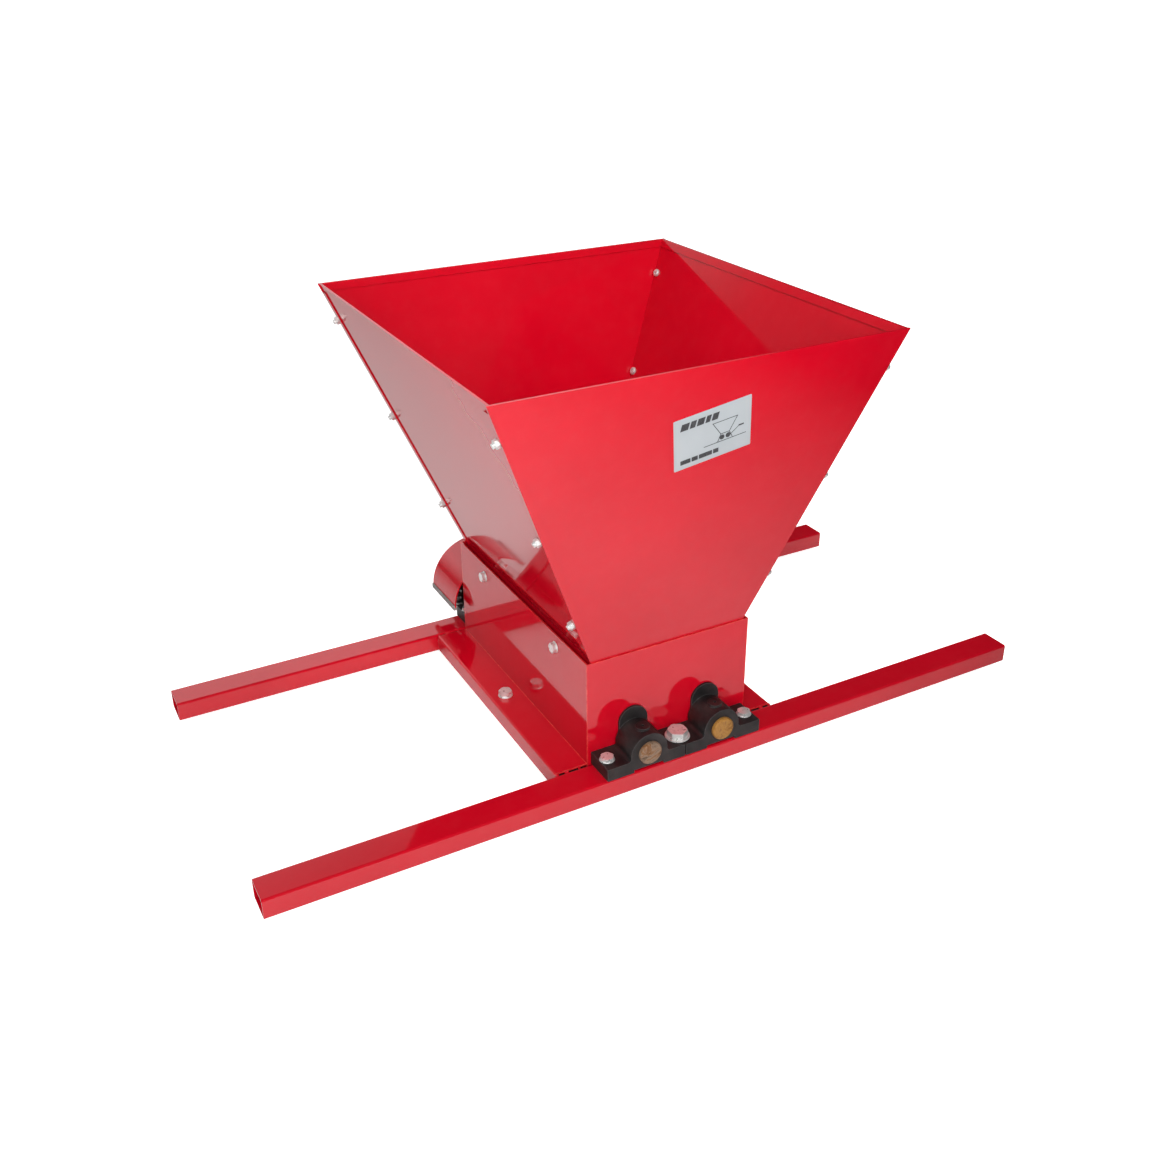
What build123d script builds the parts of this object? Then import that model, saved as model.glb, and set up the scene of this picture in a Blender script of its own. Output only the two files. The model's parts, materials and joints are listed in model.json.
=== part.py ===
"""Hand-cranked two-roller fruit mill: a square hopper on a rail frame, with geared rollers below.

Frame: +X runs along the rails, +Y from the bearing side to the crank side, +Z up.
Origin: midway between the rails, at the middle of the housing, on the plane of the rails' undersides.
"""

from build123d import *
import math
import os

os.makedirs("parts", exist_ok=True)

# ---------------------------------------------------------------- driving dimensions, mm
# rail frame
rail_length = 886
rail_mid_x = 4
rail_width = 34
rail_height = 22
rail_wall = 1.5
rail_corner = 2.5
rail_inner_y = 157.5
cross_tube_width = 30
cross_tube_height = 15
cross_tube_gap = 0.2
cross_bolt_x = 114.5

# housing under the hopper
housing_x = 95.5
housing_y = 156
housing_top = 140
housing_low = 3
housing_sheet = 1.5
flange_x = 132
flange_bend = 2.2
slot_radius = 14

# hopper
hopper_sheet = 1.2
neck_low = 114
hopper_neck_x = 91
side_bend_z = 141.5
end_bend_z = 141.5
rim_z = 448
rim_x = 216
rim_y = 218.5
seam_flange = 12
hem_height = 8.5
flange_clearance = 0.3

# shafts and bearing blocks
shaft_radius = 12.5
shaft_z = 42
running_gap = 0.05
seat_gap = 0.02
block_gap = 1.5
block_end_x = 91.5
foot_height = 14
barrel_radius = 21
shield_thick = 3
shield_half = 16.5
shield_top = 77
throat_radius = 4
boss_radius = 7.5
boss_rise = 2
boss_setback = 14.5
oil_hole = 1.6
relief_width = 35
relief_height = 3.3
outer_bolt_x = 83

# gears: equal, with an odd tooth count, so that both mesh in the same attitude
gear_module = 3
gear_teeth = 29
gear_face = 18
gear_backlash = 0.25
pressure_angle = 20
shaft_spacing = gear_module * gear_teeth
shaft_x = shaft_spacing / 2

# crushing rollers
roller_gap = 6
roller_lobes = 7
lobe_height = 3.5
roller_half_length = 150
pin_radius = 4
pin_y = 128
pin_length = 64
pin_chamfer = 0.6
roller_core_radius = 6.5
roller_core_ring = 28

# gear guard and crank
guard_half = 107
guard_top = 108
guard_low = 53
guard_depth = 70
guard_sheet = 1.5
trim_low = 49.5
trim_width = 4.5
trim_bite = 2.5
crank_radius = 200
crank_thick = 8
grip_length = 110
grip_bore = 5.05
grip_end_radius = 11.5

# fasteners, by thread: shank radius, hole radius and nut or head across flats
m5_shank = 2.45
m5_hole = 2.6
m5_flats = 8
m6_shank = 2.95
m6_hole = 3.2
m6_flats = 10
m8_shank = 3.95
m8_hole = 4.3
m8_flats = 13
m10_shank = 4.95
m10_flats = 17
m12_shank = 5.95
m12_hole = 6.3
m12_flats = 19
m8_flange = 8.2
m8_access = 9
m12_access = 12.8
corner_turn = 30
thread_gap = 0.05
m5_nut = 4
m6_head = 5
m6_nut = 5
m6_flange = 6.4
m8_head = 6
m8_low_head = 3.8
m8_nut = 6.5
m10_hole = 5.2
m10_head = 6.4
m12_head = 6.5
m12_nut = 10
screw_head_radius = 4.6
screw_head_height = 3
screw_tail = 6.5
bolt_tail = 8
housing_bolt_length = 16
cross_bolt_length = 26
guard_screw_length = 12
crank_bolt_length = 22
washer_thick = 1.5
washer_radius = 13.2
spacer_radius = 6
edge_break = 0.4

# ---------------------------------------------------------------- worked-out positions
rail_mid_y = rail_inner_y + rail_width / 2
rail_outer_y = rail_inner_y + rail_width
wall_inner_x = housing_x - housing_sheet
wall_inner_y = housing_y - housing_sheet
neck_side_x = hopper_neck_x - hopper_sheet
neck_inner_x = neck_side_x - hopper_sheet
side_lean = math.atan2(rim_x - hopper_neck_x, rim_z - side_bend_z)
end_lean = math.atan2(rim_y - wall_inner_y, rim_z - end_bend_z)
block_front_y = rail_outer_y
foot_top = rail_height + foot_height
boss_y = block_front_y - boss_setback
gear_start_y = block_front_y + 4.5
gear_end_y = gear_start_y + gear_face
guard_back_y = housing_y + guard_depth
crank_y = guard_back_y + 2


# ---------------------------------------------------------------- fasteners, head up, seat at z = 0
def hex_body(across_flats, height, bore_radius):
    """A hexagon with its top corners turned down, and a bore if it is a nut."""
    with BuildPart() as body:
        Cylinder(across_flats / 1.732, height, align=(Align.CENTER, Align.CENTER, Align.MIN))
        chamfer(body.edges().group_by(Axis.Z)[-1], length=across_flats * 0.05)
        with BuildSketch():
            RegularPolygon(across_flats / 2, 6, major_radius=False)
        extrude(amount=height, mode=Mode.INTERSECT)
        if bore_radius > 0:
            with Locations((0, 0, height)):
                Hole(bore_radius, depth=height)
    return body.part


def hex_bolt(shank_radius, across_flats, head_height, flange_radius, length):
    """A hex bolt whose shank runs down from its seat; a flange under the head is optional."""
    head = hex_body(across_flats, head_height, 0)
    with BuildPart() as bolt:
        add(head)
        Cylinder(shank_radius, length, align=(Align.CENTER, Align.CENTER, Align.MAX))
        chamfer(bolt.edges().group_by(Axis.Z)[0], length=shank_radius * 0.18)
        if flange_radius > 0:
            Cone(flange_radius, across_flats / 2, head_height * 0.35,
                 align=(Align.CENTER, Align.CENTER, Align.MIN))
    return bolt.part


def washer(inner_radius, outer_radius, thickness):
    """A flat washer standing on z = 0."""
    with BuildPart() as ring:
        with BuildSketch():
            Circle(outer_radius)
            Circle(inner_radius, mode=Mode.SUBTRACT)
        extrude(amount=thickness)
        chamfer(ring.edges().group_by(Axis.Z)[-1].sort_by(SortBy.LENGTH)[-1], length=edge_break)
    return ring.part


def pan_screw(shank_radius, head_radius, head_height, length):
    """A domed cross-recess screw."""
    with BuildPart() as screw:
        Cylinder(head_radius, head_height, align=(Align.CENTER, Align.CENTER, Align.MIN))
        fillet(screw.edges().group_by(Axis.Z)[-1], radius=head_height * 0.7)
        with BuildSketch(Plane.XY.offset(head_height)):
            Rectangle(head_radius * 1.1, head_radius * 0.22)
            Rectangle(head_radius * 0.22, head_radius * 1.1)
        extrude(amount=-head_height * 0.5, mode=Mode.SUBTRACT)
        Cylinder(shank_radius, length, align=(Align.CENTER, Align.CENTER, Align.MAX))
    return screw.part


def group(piece, spots):
    """One node made of separate equal pieces, one on each spot."""
    with BuildPart() as pieces:
        with Locations(*spots):
            add(piece)
    return pieces


# ---------------------------------------------------------------- rail frame
rail_holes = [(-outer_bolt_x, m8_hole, m8_access),
              (0, m12_hole, m12_access),
              (outer_bolt_x, m8_hole, m8_access)]


def rail(side):
    """An open-ended rectangular tube along X, drilled for one pair of bearing blocks."""
    with BuildPart() as tube:
        with BuildSketch(Plane.YZ.offset(rail_mid_x - rail_length / 2)):
            with Locations((side * rail_mid_y, rail_height / 2)):
                RectangleRounded(rail_width, rail_height, rail_corner)
                RectangleRounded(rail_width - 2 * rail_wall, rail_height - 2 * rail_wall,
                                 rail_corner - rail_wall, mode=Mode.SUBTRACT)
        extrude(amount=rail_length)
        # bolt holes through the top wall, and wide access holes for the nuts in the bottom wall
        for x, bolt_hole, access_hole in rail_holes:
            with Locations((x, side * rail_mid_y, rail_height)):
                Hole(bolt_hole, depth=rail_wall)
            with Locations((x, side * rail_mid_y, rail_wall)):
                Hole(access_hole, depth=rail_wall)
    return tube


rail_front = rail(-1)
rail_front.part.label = "rail_front"
export_step(rail_front.part, "parts/rail_front.step")

rail_back = rail(1)
rail_back.part.label = "rail_back"
export_step(rail_back.part, "parts/rail_back.step")

cross_tube_top = rail_height - housing_sheet
cross_tube_x = flange_x - housing_sheet - cross_tube_gap - cross_tube_width / 2

with BuildPart() as cross_tube_right:
    with BuildSketch(Plane.XZ.offset(-rail_inner_y)):
        with Locations((cross_tube_x, cross_tube_top - cross_tube_height / 2)):
            RectangleRounded(cross_tube_width, cross_tube_height, rail_corner)
            RectangleRounded(cross_tube_width - 2 * rail_wall, cross_tube_height - 2 * rail_wall,
                             rail_corner - rail_wall, mode=Mode.SUBTRACT)
    extrude(amount=2 * rail_inner_y)
    with Locations((cross_bolt_x, 0, cross_tube_top)):
        Hole(m8_hole, depth=cross_tube_height)
cross_tube_right.part.label = "cross_tube_right"
export_step(cross_tube_right.part, "parts/cross_tube_right.step")

with BuildPart() as cross_tube_left:
    mirror(cross_tube_right.part, about=Plane.YZ)
cross_tube_left.part.label = "cross_tube_left"
export_step(cross_tube_left.part, "parts/cross_tube_left.step")

# ---------------------------------------------------------------- housing: four sheets
housing_bolt_spots = [(88, 125), (-88, 125)]
guard_screw_spots = [(-45, 94), (45, 94)]

with BuildPart() as housing_front:
    with BuildSketch(Plane.XZ.offset(housing_y)):
        with Locations((0, housing_low)):
            Rectangle(2 * housing_x, housing_top - housing_low, align=(Align.CENTER, Align.MIN))
        with Locations((-shaft_x, shaft_z), (shaft_x, shaft_z)):
            Circle(slot_radius, mode=Mode.SUBTRACT)
            Rectangle(2 * slot_radius, shaft_z, align=(Align.CENTER, Align.MAX), mode=Mode.SUBTRACT)
    extrude(amount=-housing_sheet)
housing_front.part.label = "housing_front"
export_step(housing_front.part, "parts/housing_front.step")

with BuildPart() as housing_back:
    mirror(housing_front.part, about=Plane.XZ)
    with Locations(*[Plane((x, housing_y, z), z_dir=(0, 1, 0)) for x, z in guard_screw_spots]):
        Hole(m6_hole, depth=housing_sheet)
housing_back.part.label = "housing_back"
export_step(housing_back.part, "parts/housing_back.step")

with BuildPart() as housing_right:
    # the wall, folded out over the cross tube and down again as a lip
    with BuildSketch(Plane.XZ):
        with BuildLine():
            FilletPolyline((flange_x, housing_low), (flange_x, rail_height),
                           (housing_x - housing_sheet, rail_height), radius=flange_bend)
            offset(amount=housing_sheet, side=Side.LEFT)
        make_face()
        with Locations((wall_inner_x, housing_low)):
            Rectangle(housing_sheet, housing_top - housing_low, align=(Align.MIN, Align.MIN))
    extrude(amount=wall_inner_y, both=True)
    with Locations(*[Plane((housing_x, y, z), z_dir=(1, 0, 0)) for y, z in housing_bolt_spots]):
        Hole(m6_hole, depth=housing_sheet)
    with Locations((cross_bolt_x, 0, rail_height)):
        Hole(m8_hole, depth=housing_sheet)
housing_right.part.label = "housing_right"
export_step(housing_right.part, "parts/housing_right.step")

with BuildPart() as housing_left:
    mirror(housing_right.part, about=Plane.YZ)
housing_left.part.label = "housing_left"
export_step(housing_left.part, "parts/housing_left.step")


# ---------------------------------------------------------------- hopper: four folded panels
def funnel_outline(neck, lean, bend_z, inset, low, high):
    """Neck and funnel seen from one side, with every face moved inwards by the inset."""
    bend = bend_z + inset * (1 / math.cos(lean) - 1) / math.tan(lean)
    narrow = neck - inset
    wide = narrow + (high - bend) * math.tan(lean)
    if low >= bend:
        foot = narrow + (low - bend) * math.tan(lean)
        return [(-foot, low), (-wide, high), (wide, high), (foot, low)]
    return [(-narrow, low), (-narrow, bend), (-wide, high), (wide, high), (narrow, bend), (narrow, low)]


def funnel_block(end_inset, side_inset, low, high):
    """The solid inside the funnel, inset from its end faces and from its side faces."""
    with BuildPart() as block:
        with BuildSketch(Plane.YZ):
            Polygon(*funnel_outline(wall_inner_y, end_lean, end_bend_z, end_inset, low, high), align=None)
        extrude(amount=rim_x + 10, both=True)
        with BuildSketch(Plane.XZ):
            Polygon(*funnel_outline(hopper_neck_x, side_lean, side_bend_z, side_inset, low, high), align=None)
        extrude(amount=rim_y + 10, both=True, mode=Mode.INTERSECT)
    return block.part


def side_face_x(z):
    """Outermost x of the hopper at a height above its bend, over the seam flanges."""
    return hopper_neck_x + (z - side_bend_z) * math.tan(side_lean)


def end_face_y(z):
    """Outermost y of the hopper at a height above its bend."""
    return wall_inner_y + (z - end_bend_z) * math.tan(end_lean)


# seats of the seam nuts, on the outside of the side panels' seam flanges
seam_heights = [192, 300, 410]
seam_inset = seam_flange / 2
seam_stack = 2 * hopper_sheet
seam_planes = []
for x_side in (-1, 1):
    for y_side in (-1, 1):
        for height in seam_heights:
            seat = (x_side * side_face_x(height), y_side * (end_face_y(height) - seam_inset), height)
            outward = (x_side * math.cos(side_lean), 0, -math.sin(side_lean))
            seam_planes.append(Plane(seat, x_dir=(0, 1, 0), z_dir=outward))

flange_foot = housing_top + flange_clearance
hem_low = rim_z - hem_height
whole = funnel_block(0, 0, flange_foot, rim_z)
neck = funnel_block(0, hopper_sheet, neck_low, flange_foot)
cavity = funnel_block(hopper_sheet, hopper_sheet, neck_low, rim_z)
between_flanges = funnel_block(seam_flange, -10, neck_low, rim_z)
front_hem = funnel_block(hopper_sheet, 0, hem_low, rim_z)
inside_front_hem = funnel_block(2 * hopper_sheet, -10, hem_low, rim_z)

with BuildPart() as hopper_front:
    add(whole)
    add(neck)
    add(cavity, mode=Mode.SUBTRACT)
    add(between_flanges, mode=Mode.SUBTRACT)
    add(front_hem)
    add(inside_front_hem, mode=Mode.SUBTRACT)
    split(bisect_by=Plane.XZ, keep=Keep.TOP)
    with Locations(*seam_planes):
        Hole(m5_hole, depth=2 * seam_stack)
hopper_front.part.label = "hopper_front"
export_step(hopper_front.part, "parts/hopper_front.step")

with BuildPart() as hopper_back:
    mirror(hopper_front.part, about=Plane.XZ)
hopper_back.part.label = "hopper_back"
export_step(hopper_back.part, "parts/hopper_back.step")

side_sheet = funnel_block(hopper_sheet, hopper_sheet, neck_low, hem_low)
side_sheet_inside = funnel_block(0, 2 * hopper_sheet, neck_low, hem_low)
side_hem = funnel_block(2 * hopper_sheet, hopper_sheet, hem_low, rim_z)
side_hem_inside = funnel_block(0, 3 * hopper_sheet, hem_low, rim_z)

with BuildPart() as hopper_right:
    add(side_sheet)
    add(side_sheet_inside, mode=Mode.SUBTRACT)
    add(side_hem)
    add(side_hem_inside, mode=Mode.SUBTRACT)
    split(bisect_by=Plane.YZ, keep=Keep.TOP)
    with Locations(*seam_planes):
        Hole(m5_hole, depth=2 * seam_stack)
    with Locations(*[Plane((housing_x, y, z), z_dir=(1, 0, 0)) for y, z in housing_bolt_spots]):
        Hole(m6_hole, depth=housing_x - neck_inner_x + hopper_sheet)
hopper_right.part.label = "hopper_right"
export_step(hopper_right.part, "parts/hopper_right.step")

with BuildPart() as hopper_left:
    mirror(hopper_right.part, about=Plane.YZ)
hopper_left.part.label = "hopper_left"
export_step(hopper_left.part, "parts/hopper_left.step")

# ---------------------------------------------------------------- hopper and housing fasteners
inner_seats = [Plane(plane.origin - plane.z_dir * seam_stack, x_dir=plane.x_dir, z_dir=-plane.z_dir)
               for plane in seam_planes]
hopper_screws = group(pan_screw(m5_shank, screw_head_radius, screw_head_height, seam_stack + screw_tail),
                      inner_seats)
hopper_screws.part.label = "hopper_screws"
export_step(hopper_screws.part, "parts/hopper_screws.step")

hopper_nuts = group(hex_body(m5_flats, m5_nut, m5_shank + thread_gap), seam_planes)
hopper_nuts.part.label = "hopper_nuts"
export_step(hopper_nuts.part, "parts/hopper_nuts.step")

side_bolt_planes = []
side_spacer_planes = []
side_nut_planes = []
for x_side in (-1, 1):
    for y, z in housing_bolt_spots:
        side_bolt_planes.append(Plane((x_side * housing_x, y, z), x_dir=(0, 1, 0), z_dir=(x_side, 0, 0)))
        inward = (-x_side, 0, 0)
        side_spacer_planes.append(Plane((x_side * wall_inner_x, y, z), x_dir=(0, 1, 0), z_dir=inward))
        side_nut_planes.append(Plane((x_side * neck_inner_x, y, z), x_dir=(0, 1, 0), z_dir=inward))

housing_bolts = group(hex_bolt(m6_shank, m6_flats, m6_head, m6_flange, housing_bolt_length), side_bolt_planes)
housing_bolts.part.label = "housing_bolts"
export_step(housing_bolts.part, "parts/housing_bolts.step")

# spacers that fill the gap between the walls and the hopper's neck
housing_spacers = group(washer(m6_hole, spacer_radius, wall_inner_x - neck_side_x), side_spacer_planes)
housing_spacers.part.label = "housing_spacers"
export_step(housing_spacers.part, "parts/housing_spacers.step")

housing_nuts = group(hex_body(m6_flats, m6_nut, m6_shank + thread_gap), side_nut_planes)
housing_nuts.part.label = "housing_nuts"
export_step(housing_nuts.part, "parts/housing_nuts.step")

# turned so that their corners lie along the cross tubes
cross_bolts = group(hex_bolt(m8_shank, m8_flats, m8_head, m8_flange, cross_bolt_length),
                    [Location((x, 0, rail_height), (0, 0, corner_turn))
                     for x in (-cross_bolt_x, cross_bolt_x)])
cross_bolts.part.label = "cross_bolts"
export_step(cross_bolts.part, "parts/cross_bolts.step")

cross_nut_z = cross_tube_top - cross_tube_height
cross_nuts = group(hex_body(m8_flats, m8_nut, m8_shank + thread_gap),
                   [Plane((x, 0, cross_nut_z), z_dir=(0, 0, -1)) for x in (-cross_bolt_x, cross_bolt_x)])
cross_nuts.part.label = "cross_nuts"
export_step(cross_nuts.part, "parts/cross_nuts.step")

# ---------------------------------------------------------------- bearing blocks
block_start_x = block_gap / 2
block_mid_x = (block_start_x + block_end_x) / 2
block_length = block_end_x - block_start_x
block_depth = block_front_y - housing_y

with BuildPart() as bearing_front_right:
    # foot and barrel, as one profile seen from the front
    with BuildSketch(Plane.XZ.offset(block_front_y)):
        with Locations((block_mid_x, rail_height)):
            Rectangle(block_length, foot_height, align=(Align.CENTER, Align.MIN))
        with Locations((shaft_x, shaft_z)):
            Circle(barrel_radius)
        with Locations((shaft_x, rail_height)):
            Rectangle(3 * barrel_radius, 2 * barrel_radius, align=(Align.CENTER, Align.MAX),
                      mode=Mode.SUBTRACT)
        throats = [corner for corner in vertices()
                   if abs(corner.Y - foot_top) < 0.1 and abs(corner.X - shaft_x) < barrel_radius + 1]
        fillet(throats, radius=throat_radius)
    extrude(amount=-(block_depth - shield_thick))
    # foot and shield against the housing wall
    with BuildSketch(Plane.XZ.offset(housing_y + shield_thick)):
        with Locations((block_mid_x, rail_height)):
            Rectangle(block_length, foot_height, align=(Align.CENTER, Align.MIN))
        with Locations((shaft_x, shield_top - shield_half)):
            Circle(shield_half)
            Rectangle(2 * shield_half, shield_top - shield_half - foot_top, align=(Align.CENTER, Align.MAX))
    extrude(amount=-shield_thick)
    # oil boss on the crown of the barrel
    with Locations((shaft_x, -boss_y, shaft_z)):
        Cylinder(boss_radius, barrel_radius + boss_rise, align=(Align.CENTER, Align.CENTER, Align.MIN))
    with Locations((shaft_x, -boss_y, shaft_z + barrel_radius + boss_rise)):
        Hole(oil_hole, depth=barrel_radius)
    # shaft bore, relief under the barrel, bolt hole and half of the shared bolt hole
    with Locations(Plane((shaft_x, -block_front_y, shaft_z), z_dir=(0, -1, 0))):
        Hole(shaft_radius + running_gap, depth=block_depth)
    with BuildSketch(Plane.XZ.offset(block_front_y)):
        with Locations((shaft_x, rail_height)):
            Rectangle(relief_width, relief_height, align=(Align.CENTER, Align.MIN))
    extrude(amount=-block_depth, mode=Mode.SUBTRACT)
    with Locations((outer_bolt_x, -rail_mid_y, foot_top)):
        Hole(m8_hole, depth=foot_height)
    with Locations((0, -rail_mid_y, foot_top)):
        Hole(m12_hole, depth=foot_height)
bearing_front_right.part.label = "bearing_front_right"
export_step(bearing_front_right.part, "parts/bearing_front_right.step")

with BuildPart() as bearing_front_left:
    mirror(bearing_front_right.part, about=Plane.YZ)
bearing_front_left.part.label = "bearing_front_left"
export_step(bearing_front_left.part, "parts/bearing_front_left.step")

with BuildPart() as bearing_back_right:
    mirror(bearing_front_right.part, about=Plane.XZ)
bearing_back_right.part.label = "bearing_back_right"
export_step(bearing_back_right.part, "parts/bearing_back_right.step")

with BuildPart() as bearing_back_left:
    mirror(bearing_front_left.part, about=Plane.XZ)
bearing_back_left.part.label = "bearing_back_left"
export_step(bearing_back_left.part, "parts/bearing_back_left.step")

outer_spots = [(x, y) for x in (-outer_bolt_x, outer_bolt_x) for y in (-rail_mid_y, rail_mid_y)]
centre_spots = [(0, -rail_mid_y), (0, rail_mid_y)]
rail_inside_top = rail_height - rail_wall

block_bolts = group(hex_bolt(m8_shank, m8_flats, m8_low_head, m8_flange, foot_top + bolt_tail),
                    [(x, y, foot_top) for x, y in outer_spots])
block_bolts.part.label = "block_bolts"
export_step(block_bolts.part, "parts/block_bolts.step")

# the nuts sit inside the rails, reached through the access holes below
block_nuts = group(hex_body(m8_flats, m8_nut, m8_shank + thread_gap),
                   [Plane((x, y, rail_inside_top), z_dir=(0, 0, -1)) for x, y in outer_spots])
block_nuts.part.label = "block_nuts"
export_step(block_nuts.part, "parts/block_nuts.step")

centre_bolts = group(hex_bolt(m12_shank, m12_flats, m12_head, 0, foot_top + washer_thick + bolt_tail),
                     [Location((x, y, foot_top + washer_thick), (0, 0, corner_turn))
                      for x, y in centre_spots])
centre_bolts.part.label = "centre_bolts"
export_step(centre_bolts.part, "parts/centre_bolts.step")

centre_washers = group(washer(m12_hole, washer_radius, washer_thick),
                       [(x, y, foot_top) for x, y in centre_spots])
centre_washers.part.label = "centre_washers"
export_step(centre_washers.part, "parts/centre_washers.step")

centre_nuts = group(hex_body(m12_flats, m12_nut, m12_shank + thread_gap),
                    [Plane((x, y, rail_inside_top), z_dir=(0, 0, -1)) for x, y in centre_spots])
centre_nuts.part.label = "centre_nuts"
export_step(centre_nuts.part, "parts/centre_nuts.step")

# ---------------------------------------------------------------- shafts
shaft_front_reach = 4.5
shaft_front_y = block_front_y + shaft_front_reach
driven_end_y = gear_end_y + 5
drive_round_end_y = guard_back_y - 1
square_side = 16
key_width = 8
key_sink = 4
key_height = 7
ring_thick = 1.2
ring_sink = 0.9
ring_y = gear_end_y + 0.1
shaft_chamfer = 1.5
crank_thread_depth = 24


def shaft(x, round_end_y, square_end_y):
    """A plain shaft along Y with cross-pin holes, a keyway and a ring groove; the drive end is square."""
    with BuildPart() as rod:
        with BuildSketch(Plane.XZ.offset(shaft_front_y)):
            with Locations((x, shaft_z)):
                Circle(shaft_radius)
        extrude(amount=-(shaft_front_y + round_end_y))
        chamfer(rod.edges().filter_by(GeomType.CIRCLE), length=shaft_chamfer)
        if square_end_y > round_end_y:
            with BuildSketch(Plane.XZ.offset(-round_end_y)):
                with Locations((x, shaft_z)):
                    Rectangle(square_side, square_side)
            extrude(amount=-(square_end_y - round_end_y))
            with Locations(Plane((x, square_end_y, shaft_z), z_dir=(0, 1, 0))):
                Hole(m10_shank + thread_gap, depth=crank_thread_depth)
        with Locations((x, -pin_y, shaft_z + shaft_radius), (x, pin_y, shaft_z + shaft_radius)):
            Hole(pin_radius, depth=2 * shaft_radius)
        with BuildSketch(Plane.XZ.offset(-gear_start_y)):
            with Locations((x, shaft_z + shaft_radius - key_sink)):
                Rectangle(key_width, 2 * key_sink, align=(Align.CENTER, Align.MIN))
        extrude(amount=-gear_face, mode=Mode.SUBTRACT)
        with BuildSketch(Plane.XZ.offset(-ring_y)):
            with Locations((x, shaft_z)):
                Circle(shaft_radius + 1)
                Circle(shaft_radius - ring_sink, mode=Mode.SUBTRACT)
        extrude(amount=-ring_thick, mode=Mode.SUBTRACT)
    return rod


drive_shaft = shaft(shaft_x, drive_round_end_y, crank_y + crank_thick)
drive_shaft.part.label = "drive_shaft"
export_step(drive_shaft.part, "parts/drive_shaft.step")

driven_shaft = shaft(-shaft_x, driven_end_y, driven_end_y)
driven_shaft.part.label = "driven_shaft"
export_step(driven_shaft.part, "parts/driven_shaft.step")

# ---------------------------------------------------------------- rollers
roller_mean_radius = (shaft_spacing - roller_gap) / 2


def roller(x):
    """A lobed crushing roller; an odd lobe count puts a lobe of one into a valley of the other."""
    steps_per_lobe = 8
    steps = roller_lobes * steps_per_lobe
    outline = []
    for step in range(steps):
        turn = 2 * math.pi * step / steps
        reach = roller_mean_radius + lobe_height * math.cos(roller_lobes * turn)
        outline.append((reach * math.cos(turn), reach * math.sin(turn)))
    with BuildPart() as drum:
        with BuildSketch(Plane((x, -roller_half_length, shaft_z), x_dir=(1, 0, 0), z_dir=(0, 1, 0))):
            with BuildLine():
                Spline(*outline, periodic=True)
            make_face()
            Circle(shaft_radius + seat_gap, mode=Mode.SUBTRACT)
            with PolarLocations(roller_core_ring, roller_lobes):
                Circle(roller_core_radius, mode=Mode.SUBTRACT)
        extrude(amount=2 * roller_half_length)
        with Locations((x, -pin_y, shaft_z + roller_mean_radius), (x, pin_y, shaft_z + roller_mean_radius)):
            Hole(pin_radius, depth=2 * roller_mean_radius)
    return drum


def roller_pins(x):
    """The two cross pins that lock a roller to its shaft."""
    with BuildPart() as pins:
        with Locations((x, -pin_y, shaft_z), (x, pin_y, shaft_z)):
            Cylinder(pin_radius - seat_gap, pin_length)
        chamfer(pins.edges().filter_by(GeomType.CIRCLE), length=pin_chamfer)
    return pins


drive_roller = roller(shaft_x)
drive_roller.part.label = "drive_roller"
export_step(drive_roller.part, "parts/drive_roller.step")

driven_roller = roller(-shaft_x)
driven_roller.part.label = "driven_roller"
export_step(driven_roller.part, "parts/driven_roller.step")

drive_roller_pins = roller_pins(shaft_x)
drive_roller_pins.part.label = "drive_roller_pins"
export_step(drive_roller_pins.part, "parts/drive_roller_pins.step")

driven_roller_pins = roller_pins(-shaft_x)
driven_roller_pins.part.label = "driven_roller_pins"
export_step(driven_roller_pins.part, "parts/driven_roller_pins.step")

# ---------------------------------------------------------------- gears, keys and retaining rings
pitch_radius = gear_module * gear_teeth / 2
base_radius = pitch_radius * math.cos(math.radians(pressure_angle))
tip_radius = pitch_radius + gear_module
root_radius = pitch_radius - 1.25 * gear_module
hub_radius = 19
hub_length = 3.5
lightening_radius = 6
lightening_ring = 28
lightening_count = 6
tooth_sink = 0.5
key_top_gap = 0.2
ring_reach = 2
ring_mouth = 4
lug_width = 13
lug_height = 6
lug_drop = 2.5
lug_hole = 1
lug_hole_x = 4.2
lug_hole_drop = 3


def involute_angle(radius):
    """How far the involute has turned from its base point when it reaches a radius."""
    roll = math.sqrt(max((radius / base_radius) ** 2 - 1, 0))
    return roll - math.atan(roll)


def flank_point(radius, side):
    """A point on one flank of the tooth that is centred on the local x axis."""
    half_pitch_tooth = math.pi / (2 * gear_teeth) - gear_backlash / (2 * pitch_radius)
    turn = side * (half_pitch_tooth + involute_angle(pitch_radius) - involute_angle(radius))
    return (radius * math.cos(turn), radius * math.sin(turn))


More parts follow.
